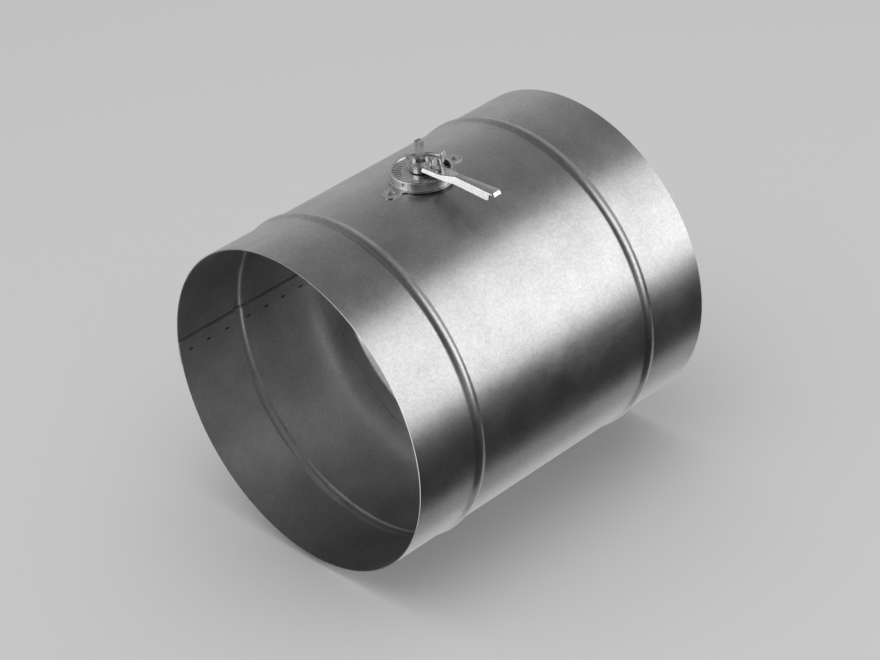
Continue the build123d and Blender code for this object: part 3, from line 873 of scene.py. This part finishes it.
def photograph_camera():
    """The photograph's camera, fitted to the casing's rims and beads."""
    data = bpy.data.cameras.new("camera")
    data.lens = 117.63
    data.sensor_width = 36.0
    camera = bpy.data.objects.new("camera", data)
    place = (-1.2835, -1.6558, 1.3906)
    right = (0.70975, -0.69916, -0.08620)
    up = (0.42801, 0.33080, 0.84106)
    back = (-0.55952, -0.63384, 0.53403)
    turn = Matrix((right, up, back)).transposed().to_4x4()
    camera.matrix_world = Matrix.Translation(place) @ turn
    return camera


class DAMPER_OT_studio(bpy.types.Operator):
    """Pale floor and backdrop, soft lamps and the photograph's camera"""

    bl_idname = "damper.studio"
    bl_label = "Studio"

    def execute(self, context):
        scene = context.scene
        look = scene.damper_studio
        scene.view_settings.view_transform = "Standard"
        scene.world = studio_world(look)

        level = cad_box[0].z
        flat_stage("floor", painted_floor(look.floor[:]), (-12, -12), (12, 12), level)
        # The dark card gives the casing the dark band under its highlight, the pale one the
        # lighter strip below that, and the white one the glow inside the inlet.
        reflection_card("black_felt_card", "#272727", (-0.6, -1.5), (2.2, -0.19), level)
        reflection_card("white_card", "#FFFFFF", (-0.5, -0.03), (-0.1, 0.32), level, look.card)
        reflection_card("pale_card", "#DFDFDF", (-0.2, -0.13), (1.2, -0.01), level)

        # The key lamp is the broad highlight on the casing, the low one shines in the mouth, the
        # left one on the quadrant and the lever's ring, and the one above on matt surfaces only.
        middle = (cad_box[0].x + cad_box[1].x) / 2
        aim = (middle, 0.0, 0.0)
        above = (middle - 0.3, -0.5, 2.2)
        soft_light("key_soft_box", (1.02, -1.11, 0.55), aim, 1.1, 1.8, look.key)
        soft_light("low_soft_box", (-1.05, 0.95, 0.25), aim, 1.9, 0.8, look.low)
        soft_light("left_soft_box", (-1.04, 0.33, 0.82), aim, 1.1, 0.42, look.left)
        soft_light("overhead_soft_box", above, aim, 2.0, 2.0, look.above, on_metal=False)

        camera = photograph_camera()
        scene.collection.objects.link(camera)
        scene.camera = camera
        return {"FINISHED"}


class DAMPER_PT_panel(bpy.types.Panel):
    """The damper's sizes and colours, and its pieces one by one"""

    bl_idname = "DAMPER_PT_panel"
    bl_label = "Round volume damper"
    bl_space_type = "VIEW_3D"
    bl_region_type = "UI"
    bl_category = "Damper"

    def draw(self, context):
        for look, group in LOOKS.items():
            box = self.layout.box()
            for name in group.__annotations__:
                box.prop(getattr(context.scene, look), name)
        for step in STEPS:
            self.layout.operator(step.bl_idname)


STEPS = (
    DAMPER_OT_casing,
    DAMPER_OT_seam_welds,
    DAMPER_OT_quadrant,
    DAMPER_OT_shaft,
    DAMPER_OT_lever,
    DAMPER_OT_lock,
    DAMPER_OT_studio,
)


def register():
    for group in LOOKS.values():
        bpy.utils.register_class(group)
    for look, group in LOOKS.items():
        setattr(bpy.types.Scene, look, PointerProperty(type=group))
    for step in (*STEPS, DAMPER_PT_panel):
        bpy.utils.register_class(step)


def unregister():
    for step in reversed((*STEPS, DAMPER_PT_panel)):
        bpy.utils.unregister_class(step)
    for look, group in LOOKS.items():
        delattr(bpy.types.Scene, look)
        bpy.utils.unregister_class(group)


def main():
    """Dresses the damper step by step."""
    register()
    bpy.ops.damper.casing()
    bpy.ops.damper.seam_welds()
    bpy.ops.damper.quadrant()
    bpy.ops.damper.shaft()
    bpy.ops.damper.lever()
    bpy.ops.damper.lock()
    bpy.ops.damper.studio()


if __name__ == "__main__":
    main()
